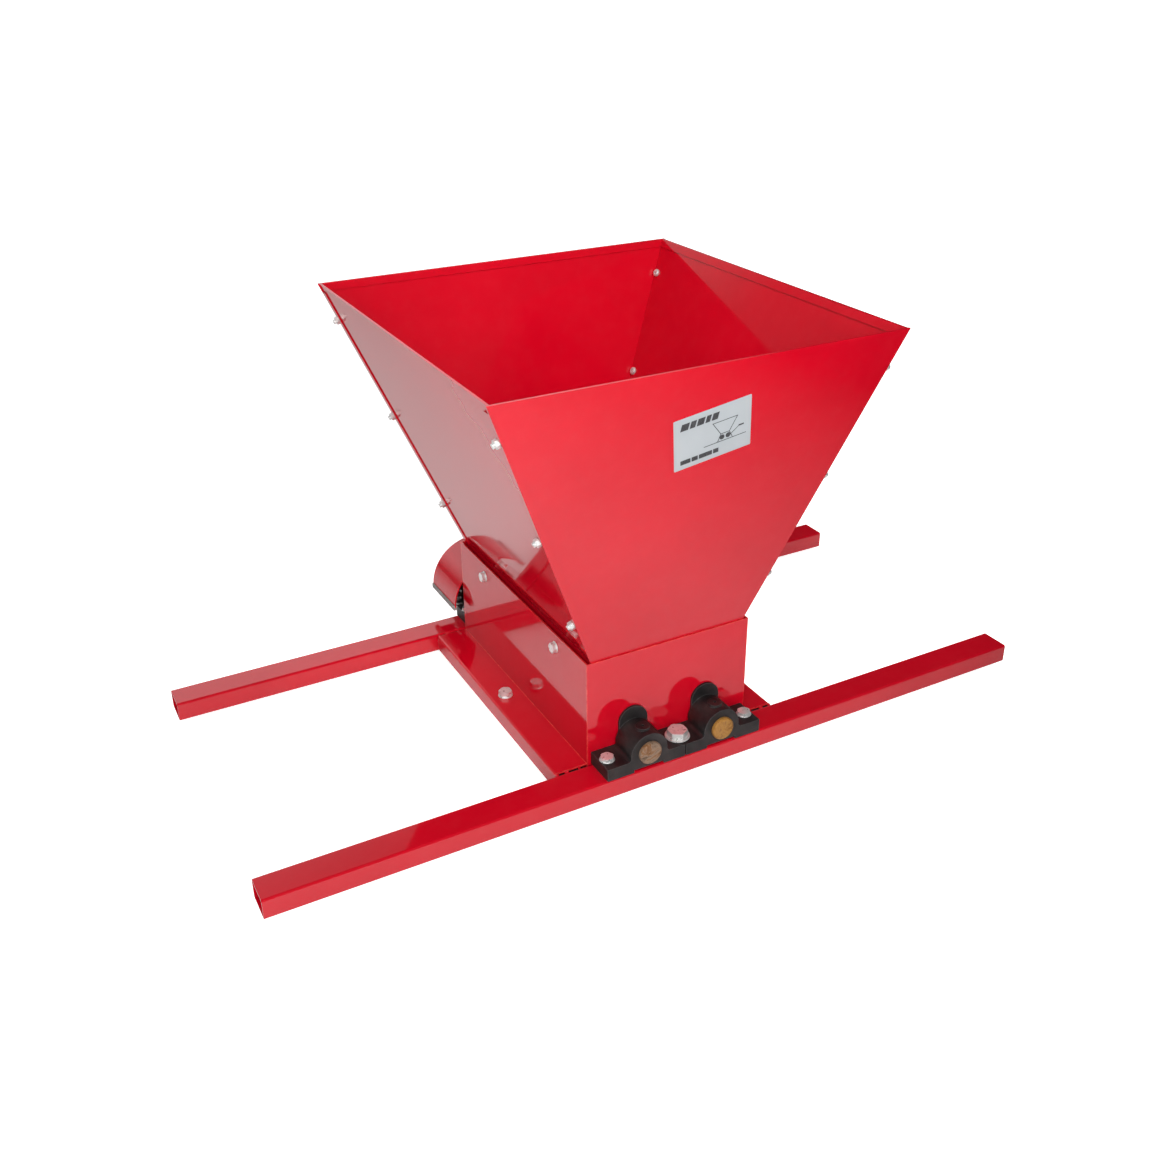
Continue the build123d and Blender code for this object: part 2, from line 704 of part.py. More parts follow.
def spur_gear(x):
    """A spur gear with a hub towards the bearing, lightening holes and a keyway."""
    flank_radii = [base_radius + (tip_radius - base_radius) * step / 4 for step in range(5)]
    upper = [flank_point(radius, 1) for radius in flank_radii]
    lower = [flank_point(radius, -1) for radius in flank_radii]
    foot_turn = math.atan2(upper[0][1], upper[0][0])
    foot_radius = root_radius - tooth_sink
    foot_high = (foot_radius * math.cos(foot_turn), foot_radius * math.sin(foot_turn))
    foot_low = (foot_high[0], -foot_high[1])
    with BuildPart() as wheel:
        with BuildSketch(Plane((x, gear_start_y, shaft_z), x_dir=(1, 0, 0), z_dir=(0, 1, 0))):
            Circle(root_radius)
            with BuildSketch(mode=Mode.PRIVATE) as tooth:
                with BuildLine():
                    Spline(*upper)
                    ThreePointArc(upper[-1], (tip_radius, 0), lower[-1])
                    Spline(*lower)
                    Polyline(lower[0], foot_low, foot_high, upper[0])
                make_face()
            with PolarLocations(0, gear_teeth):
                add(tooth.sketch)
            with PolarLocations(lightening_ring, lightening_count):
                Circle(lightening_radius, mode=Mode.SUBTRACT)
        extrude(amount=gear_face)
        with BuildSketch(Plane((x, gear_start_y, shaft_z), x_dir=(1, 0, 0), z_dir=(0, -1, 0))):
            Circle(hub_radius)
        extrude(amount=hub_length)
        with Locations(Plane((x, gear_end_y, shaft_z), z_dir=(0, 1, 0))):
            Hole(shaft_radius + seat_gap, depth=gear_face + hub_length)
        with BuildSketch(Plane.XZ.offset(-gear_start_y)):
            with Locations((x, shaft_z)):
                Rectangle(key_width, shaft_radius - key_sink + key_height + key_top_gap,
                          align=(Align.CENTER, Align.MIN))
        extrude(amount=-gear_face, mode=Mode.SUBTRACT)
    return wheel


def gear_key(x):
    """The parallel key between a shaft and its gear."""
    with BuildPart() as key:
        with BuildSketch(Plane.XZ.offset(-gear_start_y)):
            with Locations((x, shaft_z + shaft_radius - key_sink)):
                Rectangle(key_width - 2 * seat_gap, key_height, align=(Align.CENTER, Align.MIN))
        extrude(amount=-gear_face)
    return key


def retaining_ring(x):
    """An external circlip in the shaft's groove, open at the bottom, with two lugs."""
    with BuildPart() as ring:
        with BuildSketch(Plane.XZ.offset(-ring_y)):
            with Locations((x, shaft_z)):
                Circle(shaft_radius + ring_reach)
            with Locations((x, shaft_z - shaft_radius - lug_drop)):
                Rectangle(lug_width, lug_height)
            with Locations((x, shaft_z)):
                Circle(shaft_radius - ring_sink + seat_gap, mode=Mode.SUBTRACT)
                Rectangle(ring_mouth, 2 * shaft_radius, align=(Align.CENTER, Align.MAX), mode=Mode.SUBTRACT)
            lug_hole_z = shaft_z - shaft_radius - lug_hole_drop
            with Locations((x - lug_hole_x, lug_hole_z), (x + lug_hole_x, lug_hole_z)):
                Circle(lug_hole, mode=Mode.SUBTRACT)
        extrude(amount=-(ring_thick - seat_gap))
    return ring


drive_gear = spur_gear(shaft_x)
drive_gear.part.label = "drive_gear"
export_step(drive_gear.part, "parts/drive_gear.step")

driven_gear = spur_gear(-shaft_x)
driven_gear.part.label = "driven_gear"
export_step(driven_gear.part, "parts/driven_gear.step")

drive_gear_key = gear_key(shaft_x)
drive_gear_key.part.label = "drive_gear_key"
export_step(drive_gear_key.part, "parts/drive_gear_key.step")

driven_gear_key = gear_key(-shaft_x)
driven_gear_key.part.label = "driven_gear_key"
export_step(driven_gear_key.part, "parts/driven_gear_key.step")

drive_gear_ring = retaining_ring(shaft_x)
drive_gear_ring.part.label = "drive_gear_ring"
export_step(drive_gear_ring.part, "parts/drive_gear_ring.step")

driven_gear_ring = retaining_ring(-shaft_x)
driven_gear_ring.part.label = "driven_gear_ring"
export_step(driven_gear_ring.part, "parts/driven_gear_ring.step")

# ---------------------------------------------------------------- gear guard
guard_front_y = housing_y + 1
guard_span = guard_back_y - guard_front_y
tab_height = 30
tab_half = 62
tab_corner = 6
shaft_relief = 5


def guard_arch(inset, drop):
    """The hood's arched outline across Y, moved inwards by the inset and lengthened down by the drop."""
    side = guard_half - inset
    top = guard_top - inset
    arc_radius = guard_top - guard_low - inset
    with BuildSketch(Plane.XZ.offset(-guard_front_y)) as arch:
        with BuildLine():
            Line((-side, guard_low), (side, guard_low))
            RadiusArc((side, guard_low), (side - arc_radius, top), -arc_radius)
            Line((side - arc_radius, top), (arc_radius - side, top))
            RadiusArc((arc_radius - side, top), (-side, guard_low), -arc_radius)
        make_face()
        if drop > 0:
            with Locations((0, guard_low)):
                Rectangle(2 * side, drop, align=(Align.CENTER, Align.MAX))
    return arch.sketch


with BuildPart() as gear_guard:
    extrude(guard_arch(0, 0), amount=-guard_span)
    extrude(guard_arch(guard_sheet, guard_sheet), amount=-(guard_span - guard_sheet), mode=Mode.SUBTRACT)
    # tab folded down against the housing's back wall
    with BuildSketch(Plane.XZ.offset(-housing_y)):
        with Locations((0, guard_top)):
            Rectangle(2 * tab_half, tab_height, align=(Align.CENTER, Align.MAX))
        fillet(vertices().group_by(Axis.Y)[0], radius=tab_corner)
    extrude(amount=-guard_sheet)
    with Locations(*[Plane((x, housing_y + guard_sheet, z), z_dir=(0, 1, 0)) for x, z in guard_screw_spots]):
        Hole(m6_hole, depth=guard_sheet)
    # relief in the back plate for the drive shaft
    with BuildSketch(Plane.XZ.offset(-guard_back_y)):
        with Locations((shaft_x, shaft_z)):
            Circle(shaft_radius + shaft_relief)
    extrude(amount=guard_sheet, mode=Mode.SUBTRACT)
gear_guard.part.label = "gear_guard"
export_step(gear_guard.part, "parts/gear_guard.step")

with BuildPart() as guard_trim:
    # U-section edging on the hood's two side edges
    for side in (-1, 1):
        with BuildSketch(Plane.XZ.offset(-guard_front_y)):
            with Locations((side * (guard_half - guard_sheet / 2), trim_low)):
                Rectangle(trim_width, guard_low - trim_low + trim_bite, align=(Align.CENTER, Align.MIN))
    extrude(amount=-guard_span)
    add(gear_guard.part, mode=Mode.SUBTRACT)
guard_trim.part.label = "guard_trim"
export_step(guard_trim.part, "parts/guard_trim.step")

guard_screw_planes = [Plane((x, housing_y + guard_sheet, z), x_dir=(1, 0, 0), z_dir=(0, 1, 0))
                      for x, z in guard_screw_spots]
guard_screws = group(hex_bolt(m6_shank, m6_flats, m6_head, m6_flange, guard_screw_length), guard_screw_planes)
guard_screws.part.label = "guard_screws"
export_step(guard_screws.part, "parts/guard_screws.step")

guard_nuts = group(hex_body(m6_flats, m6_nut, m6_shank + thread_gap),
                   [Plane((x, wall_inner_y, z), x_dir=(1, 0, 0), z_dir=(0, -1, 0))
                    for x, z in guard_screw_spots])
guard_nuts.part.label = "guard_nuts"
export_step(guard_nuts.part, "parts/guard_nuts.step")

# ---------------------------------------------------------------- crank
arm_half = 15
hub_end_radius = 20
crank_washer_thick = 3
crank_washer_radius = 15
arm_chamfer = 0.8
crank_back_y = crank_y + crank_thick
crank_top = shaft_z + crank_radius

with BuildPart() as crank_arm:
    with BuildSketch(Plane.XZ.offset(-crank_y)):
        with Locations((shaft_x, shaft_z)):
            Circle(hub_end_radius)
            Rectangle(2 * arm_half, crank_radius, align=(Align.CENTER, Align.MIN))
        with Locations((shaft_x, crank_top)):
            Circle(arm_half)
            Circle(m10_hole, mode=Mode.SUBTRACT)
        with Locations((shaft_x, shaft_z)):
            Rectangle(square_side + 2 * seat_gap, square_side + 2 * seat_gap, mode=Mode.SUBTRACT)
    extrude(amount=-crank_thick)
    chamfer(crank_arm.edges().filter_by(GeomType.CIRCLE).sort_by(SortBy.LENGTH)[-2:],
            length=arm_chamfer)
crank_arm.part.label = "crank_arm"
export_step(crank_arm.part, "parts/crank_arm.step")

with BuildPart() as crank_washer:
    with BuildSketch(Plane.XZ.offset(-crank_back_y)):
        with Locations((shaft_x, shaft_z)):
            Circle(crank_washer_radius)
            Circle(m10_hole, mode=Mode.SUBTRACT)
    extrude(amount=-crank_washer_thick)
    chamfer(crank_washer.edges().group_by(Axis.Y)[-1].sort_by(SortBy.LENGTH)[-1], length=edge_break)
crank_washer.part.label = "crank_washer"
export_step(crank_washer.part, "parts/crank_washer.step")

crank_bolt = group(hex_bolt(m10_shank, m10_flats, m10_head, 0, crank_bolt_length),
                   [Plane((shaft_x, crank_back_y + crank_washer_thick, shaft_z), z_dir=(0, 1, 0))])
crank_bolt.part.label = "crank_bolt"
export_step(crank_bolt.part, "parts/crank_bolt.step")

grip_gap = 1
grip_nut_height = 7
bolt_end = 2
grip_collar_radius = 13
grip_waist_y = 22
grip_palm_y = 70
grip_palm_radius = 15.5
grip_start_y = crank_back_y + grip_gap
grip_end_y = grip_start_y + grip_length

with BuildPart() as grip:
    # a turned handle: waisted near the arm, swelling towards the palm
    with BuildSketch(Plane.YZ.offset(shaft_x)):
        with BuildLine():
            Polyline((grip_start_y, crank_top + grip_bore), (grip_start_y, crank_top + grip_collar_radius))
            Spline((grip_start_y, crank_top + grip_collar_radius),
                   (grip_start_y + grip_waist_y, crank_top + grip_end_radius),
                   (grip_start_y + grip_palm_y, crank_top + grip_palm_radius),
                   (grip_end_y, crank_top + grip_end_radius))
            Polyline((grip_end_y, crank_top + grip_end_radius), (grip_end_y, crank_top + grip_bore),
                     (grip_start_y, crank_top + grip_bore))
        make_face()
    revolve(axis=Axis((shaft_x, 0, crank_top), (0, 1, 0)))
grip.part.label = "grip"
export_step(grip.part, "parts/grip.step")

grip_head_y = grip_end_y + grip_gap
grip_bolt_length = grip_head_y - crank_y + grip_nut_height + bolt_end
grip_bolt = group(hex_bolt(m10_shank, m10_flats, m10_head, 0, grip_bolt_length),
                  [Plane((shaft_x, grip_head_y, crank_top), z_dir=(0, 1, 0))])
grip_bolt.part.label = "grip_bolt"
export_step(grip_bolt.part, "parts/grip_bolt.step")

grip_nut = group(hex_body(m10_flats, grip_nut_height, m10_shank + thread_gap),
                 [Plane((shaft_x, crank_y, crank_top), z_dir=(0, -1, 0))])
grip_nut.part.label = "grip_nut"
export_step(grip_nut.part, "parts/grip_nut.step")

# ---------------------------------------------------------------- label on the hopper's front panel
label_z = 378
label_x = 8.5
label_width = 81
label_height = 55
label_tilt = 9.6
label_corner = 1
label_thick = 0.3
with BuildPart() as label_plate:
    face_plane = Plane((label_x, -end_face_y(label_z), label_z), x_dir=(1, 0, 0),
                       z_dir=(0, -math.cos(end_lean), -math.sin(end_lean)))
    with BuildSketch(face_plane):
        RectangleRounded(label_width, label_height, label_corner, rotation=label_tilt)
    extrude(amount=label_thick)
label_plate.part.label = "label_plate"
export_step(label_plate.part, "parts/label_plate.step")
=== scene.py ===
"""Looks of the hand-cranked roller mill: camera, studio, procedural materials and small details."""

import json
import math
import random

import bmesh
import bpy
from mathutils import Matrix, Vector


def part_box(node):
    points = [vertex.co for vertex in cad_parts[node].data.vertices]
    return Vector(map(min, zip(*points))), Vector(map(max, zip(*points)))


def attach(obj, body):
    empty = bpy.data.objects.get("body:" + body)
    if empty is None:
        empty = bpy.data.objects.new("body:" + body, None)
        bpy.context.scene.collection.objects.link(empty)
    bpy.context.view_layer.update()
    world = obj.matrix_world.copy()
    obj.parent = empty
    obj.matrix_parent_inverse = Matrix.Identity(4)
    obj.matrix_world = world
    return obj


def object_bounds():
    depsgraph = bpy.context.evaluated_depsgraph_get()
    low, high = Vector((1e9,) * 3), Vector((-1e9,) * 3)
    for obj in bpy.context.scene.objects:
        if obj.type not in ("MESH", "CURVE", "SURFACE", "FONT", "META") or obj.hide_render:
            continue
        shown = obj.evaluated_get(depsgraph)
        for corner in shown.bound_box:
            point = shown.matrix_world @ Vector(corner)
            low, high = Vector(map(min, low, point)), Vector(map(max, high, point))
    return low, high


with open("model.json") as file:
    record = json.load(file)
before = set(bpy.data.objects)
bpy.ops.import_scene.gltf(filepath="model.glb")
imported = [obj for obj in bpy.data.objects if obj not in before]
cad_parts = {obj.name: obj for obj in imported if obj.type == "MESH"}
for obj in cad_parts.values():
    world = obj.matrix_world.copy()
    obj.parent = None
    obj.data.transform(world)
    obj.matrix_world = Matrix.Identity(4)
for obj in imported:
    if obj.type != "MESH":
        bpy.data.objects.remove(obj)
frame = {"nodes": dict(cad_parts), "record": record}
cad_low, cad_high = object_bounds()
nodes = frame["nodes"]
MM = 0.001
SAME_SPOT = 0.002 * MM  # vertices nearer than this are one vertex
scene = bpy.context.scene


# ------------------------------------------------------------------ camera and studio
def make_camera():
    """From the front left and above, with a mild wide lens."""
    azimuth, elevation, roll = (math.radians(angle) for angle in (-28.28, 26.29, -0.415))
    eye = (-0.573, -1.0488, 0.7755)
    data = bpy.data.cameras.new("camera")
    data.sensor_width = 36.0
    data.lens = 38.07
    data.shift_x = -0.0093
    data.shift_y = -0.0317
    data.clip_start = 0.05
    data.clip_end = 60.0
    camera = bpy.data.objects.new("camera", data)
    scene.collection.objects.link(camera)
    forward = Vector((-math.sin(azimuth) * math.cos(elevation),
                      math.cos(azimuth) * math.cos(elevation),
                      -math.sin(elevation)))
    turn = forward.to_track_quat("-Z", "Y").to_matrix().to_4x4()
    camera.matrix_world = Matrix.Translation(eye) @ turn @ Matrix.Rotation(roll, 4, "Z")
    scene.camera = camera


def lamp(name, kind, watts):
    """A lamp that lights the machine but leaves no mirror image of itself in the gloss."""
    data = bpy.data.lights.new(name, kind)
    data.energy = watts
    holder = bpy.data.objects.new(name, data)
    scene.collection.objects.link(holder)
    holder.rotation_mode = "QUATERNION"
    holder.visible_glossy = False
    return holder


def area_light(name, place, target, size, watts, spread=180):
    """A square softbox that looks at a point; a spread below 180 degrees narrows its beam."""
    holder = lamp(name, "AREA", watts)
    holder.data.shape = "SQUARE"
    holder.data.size = size
    holder.data.spread = math.radians(spread)
    holder.location = place
    holder.rotation_quaternion = (Vector(target) - Vector(place)).to_track_quat("-Z", "Y")


def sky_light(name, towards_light, spread, strength):
    """An even light from one side of the sky; spread is its angular width in degrees."""
    holder = lamp(name, "SUN", strength)
    holder.data.angle = math.radians(spread)
    holder.rotation_quaternion = (-Vector(towards_light)).to_track_quat("-Z", "Y")
    return holder


def metal_light(towards_light, spread, strength, slots):
    """A light seen only by the bare metal parts, so that fasteners sparkle and the paint stays calm."""
    metal = bpy.data.collections.new("metal_parts")
    for entry in frame["record"]["subparts"]:
        if entry["material_slot"] in slots:
            metal.objects.link(nodes[entry["node"]])
    holder = sky_light("metal_light", towards_light, spread, strength)
    holder.visible_glossy = True
    holder.light_linking.receiver_collection = metal


def falloff(tree, coordinate, direction, near, far, bright, dark):
    """A grey that falls from bright to dark as a coordinate moves along a direction from near to far."""
    along = tree.nodes.new("ShaderNodeVectorMath")
    along.operation = "DOT_PRODUCT"
    along.inputs[1].default_value = direction
    tree.links.new(coordinate, along.inputs[0])
    fall = tree.nodes.new("ShaderNodeMapRange")
    fall.inputs["From Min"].default_value = near
    fall.inputs["From Max"].default_value = far
    fall.inputs["To Min"].default_value = bright
    fall.inputs["To Max"].default_value = dark
    tree.links.new(along.outputs["Value"], fall.inputs["Value"])
    return fall.outputs["Result"]


def oval_patch(tree, direction, centre, half_size, near, far, bright):
    """A soft bright oval on the sky behind the machine, placed by direction x and z. Its edge fades out
    between near and far, counted in half sizes from its centre."""
    shift = tree.nodes.new("ShaderNodeVectorMath")
    shift.operation = "SUBTRACT"
    shift.inputs[1].default_value = (centre[0], 0, centre[1])
    tree.links.new(direction, shift.inputs[0])
    scale = tree.nodes.new("ShaderNodeVectorMath")
    scale.operation = "MULTIPLY"
    scale.inputs[1].default_value = (1 / half_size[0], 0, 1 / half_size[1])
    tree.links.new(shift.outputs[0], scale.inputs[0])
    reach = tree.nodes.new("ShaderNodeVectorMath")
    reach.operation = "LENGTH"
    tree.links.new(scale.outputs[0], reach.inputs[0])
    edge = tree.nodes.new("ShaderNodeMapRange")
    edge.inputs["From Min"].default_value = near
    edge.inputs["From Max"].default_value = far
    edge.inputs["To Min"].default_value = bright
    edge.inputs["To Max"].default_value = 0.0
    tree.links.new(reach.outputs["Value"], edge.inputs["Value"])
    behind = falloff(tree, direction, (0, 1, 0), 0.0, 0.1, 0.0, 1.0)
    product = tree.nodes.new("ShaderNodeMath")
    product.operation = "MULTIPLY"
    tree.links.new(edge.outputs["Result"], product.inputs[0])
    tree.links.new(behind, product.inputs[1])
    return product.outputs[0]


def make_world():
    """White to the camera. To everything else, a dim room, darker to the right, with a pale backdrop."""
    world = bpy.data.worlds.new("studio")
    world.use_nodes = True
    tree = world.node_tree
    background = tree.nodes["Background"]
    direction = tree.nodes.new("ShaderNodeTexCoord").outputs["Generated"]
    room = falloff(tree, direction, (1, 0, 0), -0.3, 0.6, 0.14, 0.02)
    backdrop = oval_patch(tree, direction, (0.0, 0.25), (0.55, 0.42), 0.8, 1.08, 0.95)
    both = tree.nodes.new("ShaderNodeMath")
    both.operation = "ADD"
    tree.links.new(room, both.inputs[0])
    tree.links.new(backdrop, both.inputs[1])
    ray = tree.nodes.new("ShaderNodeLightPath")
    choice = tree.nodes.new("ShaderNodeMix")
    choice.inputs["B"].default_value = 1.0
    tree.links.new(ray.outputs["Is Camera Ray"], choice.inputs["Factor"])
    tree.links.new(both.outputs[0], choice.inputs["A"])
    tree.links.new(choice.outputs["Result"], background.inputs["Strength"])
    background.inputs["Color"].default_value = (1, 1, 1, 1)
    scene.world = world


def make_floor():
    """A white paper floor just under the lowest part of the machine, one triangle that reaches past the
    picture. The camera sees it white; the light that it throws back at the machine is weaker, and fades
    towards the front right."""
    reach, gap = 40, 0.5 * MM
    bm = bmesh.new()
    bmesh.ops.create_circle(bm, cap_ends=True, segments=3, radius=reach)
    mesh = bpy.data.meshes.new("floor")
    bm.to_mesh(mesh)
    bm.free()
    floor = bpy.data.objects.new("floor", mesh)
    scene.collection.objects.link(floor)
    floor.location = (0, 0, cad_low.z - gap)
    paper = Paint("floor_paper")
    white = paper.ramp(paper.noise(3.0, 2), (0.3, (0.93, 0.93, 0.93)), (0.7, (0.95, 0.95, 0.95)))
    grey = falloff(paper.tree, paper.place, (1, -1, 0), 0.45, 1.2, 0.9, 0.02)
    ray = paper.tree.nodes.new("ShaderNodeLightPath")
    paper.set("Base Color", paper.mix(ray.outputs["Is Camera Ray"], grey, white))
    paper.set("Roughness", 0.8)
    paper.set("Specular IOR Level", 0.1)
    paper.set("Emission Color", (1, 1, 1))
    paper.set("Emission Strength", paper.maths("MULTIPLY", ray.outputs["Is Camera Ray"], 0.8))
    mesh.materials.append(paper.material)


def make_studio():
    """Soft light from all round, with a key light from the front left, over a white floor."""
    make_world()
    make_floor()
    sky_light("top_light", (0.05, 0.15, 1.0), 70, 0.8)
    sky_light("front_light", (-0.5, -1.0, 0.8), 40, 0.2)
    sky_light("back_light", (-0.4, 1.0, 0.3), 40, 0.7)
    sky_light("right_light", (1.0, 0.3, 0.1), 40, 0.6)
    area_light("key_light", (-0.6, -1.3, 0.8), (-0.1, -0.1, 0.25), 0.9, 19)
    area_light("mouth_light", (-0.35, -1.0, 1.25), (0.05, 0.15, 0.38), 0.4, 1.15, spread=45)
    metal_light((-0.5, -0.8, 0.6), 80, 1.1, ("zinc_plate", "gear_steel", "roller_aluminium"))
    scene.view_settings.view_transform = "Standard"
    scene.view_settings.look = "None"


# ------------------------------------------------------------------ material building
class Paint:
    """A node material around one Principled shader. Texture coordinates are metres in the object's frame."""

    bevel_samples = 6

    def __init__(self, name):
        self.material = bpy.data.materials.new(name)
        self.material.use_nodes = True
        self.tree = self.material.node_tree
        self.shader = self.tree.nodes["Principled BSDF"]
        self.place = self.tree.nodes.new("ShaderNodeTexCoord").outputs["Object"]

    def link(self, source, target):
        self.tree.links.new(source, target)

    def set(self, socket, value):
        """A number, a colour or another node's output goes into the shader."""
        target = self.shader.inputs[socket]
        if hasattr(value, "is_output"):
            self.link(value, target)
        elif isinstance(value, tuple):
            target.default_value = (*value, 1)
        else:
            target.default_value = value

    def noise(self, scale, detail, roughness=0.5, stretch=(1, 1, 1), distortion=0.0):
        """Noise with features about 1 / scale metres wide, stretched along the axes."""
        mapping = self.tree.nodes.new("ShaderNodeMapping")
        mapping.inputs["Scale"].default_value = stretch
        self.link(self.place, mapping.inputs["Vector"])
        node = self.tree.nodes.new("ShaderNodeTexNoise")
        node.inputs["Scale"].default_value = scale
        node.inputs["Detail"].default_value = detail
        node.inputs["Roughness"].default_value = roughness
        node.inputs["Distortion"].default_value = distortion
        self.link(mapping.outputs[0], node.inputs["Vector"])
        return node.outputs["Fac"]

    def ramp(self, factor, *stops):
        """A colour ramp whose stops are (position, colour or grey)."""
        node = self.tree.nodes.new("ShaderNodeValToRGB")
        elements = node.color_ramp.elements
        while len(elements) < len(stops):
            elements.new(0.5)
        for element, (position, colour) in zip(elements, stops):
            element.position = position
            element.color = (*colour, 1) if isinstance(colour, tuple) else (colour, colour, colour, 1)
        self.link(factor, node.inputs["Fac"])
        return node.outputs["Color"]

    def mix(self, factor, first, second):
        """Colour mix; factor, first and second may be outputs or plain values."""
        node = self.tree.nodes.new("ShaderNodeMix")
        node.data_type = "RGBA"
        for socket, value in ((node.inputs[0], factor), (node.inputs[6], first), (node.inputs[7], second)):
            if hasattr(value, "is_output"):
                self.link(value, socket)
            elif isinstance(value, tuple):
                socket.default_value = (*value, 1)
            else:
                socket.default_value = value
        return node.outputs[2]

    def maths(self, operation, first, second):
        """Sum, product or difference; first and second may be outputs or plain values."""
        node = self.tree.nodes.new("ShaderNodeMath")
        node.operation = operation
        for socket, value in zip(node.inputs, (first, second)):
            if hasattr(value, "is_output"):
                self.link(value, socket)
            else:
                socket.default_value = value
        return node.outputs[0]

    def edges(self, radius, reach):
        """0 on flat faces, 1 on edges tighter than the radius."""
        bevel = self.tree.nodes.new("ShaderNodeBevel")
        bevel.samples = self.bevel_samples
        bevel.inputs["Radius"].default_value = radius
        geometry = self.tree.nodes.new("ShaderNodeNewGeometry")
        dot = self.tree.nodes.new("ShaderNodeVectorMath")
        dot.operation = "DOT_PRODUCT"
        self.link(bevel.outputs[0], dot.inputs[0])
        self.link(geometry.outputs["Normal"], dot.inputs[1])
        return self.ramp(self.maths("SUBTRACT", 1.0, dot.outputs["Value"]), (0.0, 0.0), (reach, 1.0))

    def bump(self, height, strength, depth, rounding=0.0):
        """Bump from a height output, over softly rounded edges."""
        node = self.tree.nodes.new("ShaderNodeBump")
        node.inputs["Strength"].default_value = strength
        node.inputs["Distance"].default_value = depth
        self.link(height, node.inputs["Height"])
        if rounding > 0:
            bevel = self.tree.nodes.new("ShaderNodeBevel")
            bevel.samples = self.bevel_samples
            bevel.inputs["Radius"].default_value = rounding
            self.link(bevel.outputs[0], node.inputs["Normal"])
        self.set("Normal", node.outputs[0])


def red_paint(name="red_paint", edge_highlight_strength=0.0, gap_shade_beyond=None):
    """Glossy red powder coat with a faint orange peel and soft colour drift; edge_highlight_strength paints a
    lighter red highlight, in patches, along edges and creases.
    Further than gap_shade_beyond from the middle of the machine, front or back, the paint is dark and has no
    coat: painted shade for the gaps."""
    paint = Paint(name)
    gap_shade_fade = 0.4 * MM
    drift = paint.ramp(paint.noise(7, 4, 0.6), (0.3, (0.51, 0.001, 0.011)), (0.7, (0.57, 0.002, 0.014)))
    clouds = paint.ramp(paint.noise(60, 5, 0.65), (0.45, 0.0), (0.8, 0.010))
    colour = paint.mix(clouds, drift, (0.75, 0.35, 0.33))
    if edge_highlight_strength > 0:
        # painted highlight: a lighter red laid along edges and creases, broken into patches by noise
        highlight_patches = paint.ramp(paint.noise(150, 4, 0.6), (0.35, 0.25), (0.6, 1.0))
        edge_highlight_mask = paint.maths("MULTIPLY", paint.maths("MULTIPLY", paint.edges(0.0018, 0.12), highlight_patches), edge_highlight_strength)
        colour = paint.mix(edge_highlight_mask, colour, (0.90, 0.10, 0.07))
    coat = 1.0
    # painted shade: past the flanges the tube ends are painted dark and lose their coat, standing in for the
    # shade in the gaps by the rails
    if gap_shade_beyond is not None:
        front, back = (falloff(paint.tree, paint.place, (0, side, 0), gap_shade_beyond, gap_shade_beyond + gap_shade_fade,
                               bright=1.0, dark=0.0) for side in (-1, 1))
        coat = paint.maths("MULTIPLY", front, back)
        colour = paint.mix(coat, (0.012, 0.005, 0.005), colour)
    paint.set("Base Color", colour)
    paint.set("Roughness", paint.ramp(paint.noise(24, 5, 0.6), (0.35, 0.28), (0.7, 0.34)))
    paint.set("Specular IOR Level", 0.0)
    paint.set("Coat Weight", coat)
    paint.set("Coat IOR", 1.7)
    paint.set("Coat Roughness", paint.ramp(paint.noise(11, 5, 0.6), (0.35, 0.045), (0.75, 0.075)))
    paint.bump(paint.noise(420, 2), 0.008, 0.0004, rounding=0.0006)
    return paint.material


def black_plastic():
    """Moulded black plastic with a fine grain, grey scuffs on the edges and dusty patches."""
    paint = Paint("black_plastic")
    patches = paint.ramp(paint.noise(45, 6, 0.65), (0.40, (0.009, 0.0085, 0.009)),
                         (0.72, (0.026, 0.022, 0.021)))
    scuffed = paint.mix(paint.maths("MULTIPLY", paint.edges(0.0010, 0.2), 0.5), patches, (0.16, 0.15, 0.15))
    paint.set("Base Color", scuffed)
    paint.set("Roughness", paint.ramp(paint.noise(70, 4), (0.35, 0.42), (0.7, 0.62)))
    paint.bump(paint.noise(1500, 2), 0.22, 0.0003, rounding=0.0009)
    return paint.material


def grip_plastic():
    """Smooth black plastic, a little worn by hands."""
    paint = Paint("grip_plastic")
    paint.set("Base Color", paint.ramp(paint.noise(30, 4), (0.4, (0.012, 0.012, 0.013)),
                                       (0.75, (0.030, 0.029, 0.030))))
    paint.set("Roughness", paint.ramp(paint.noise(55, 5, 0.6), (0.35, 0.22), (0.7, 0.42)))
    paint.bump(paint.noise(900, 2), 0.08, 0.0002, rounding=0.0006)
    return paint.material


def zinc_plate():
    """Bright zinc with faint milky clouds and hairline scratches."""
    paint = Paint("zinc_plate")
    paint.set("Metallic", 0.7)
    clouds = paint.noise(160, 5, 0.6)
    paint.set("Base Color", paint.ramp(clouds, (0.35, (0.70, 0.70, 0.69)), (0.7, (0.86, 0.86, 0.84))))
    paint.set("Roughness", paint.ramp(paint.noise(300, 4, 0.6), (0.3, 0.24), (0.75, 0.42)))
    scratches = paint.noise(700, 2, stretch=(1, 0.08, 1))
    paint.bump(scratches, 0.10, 0.0002, rounding=0.0005)
    return paint.material


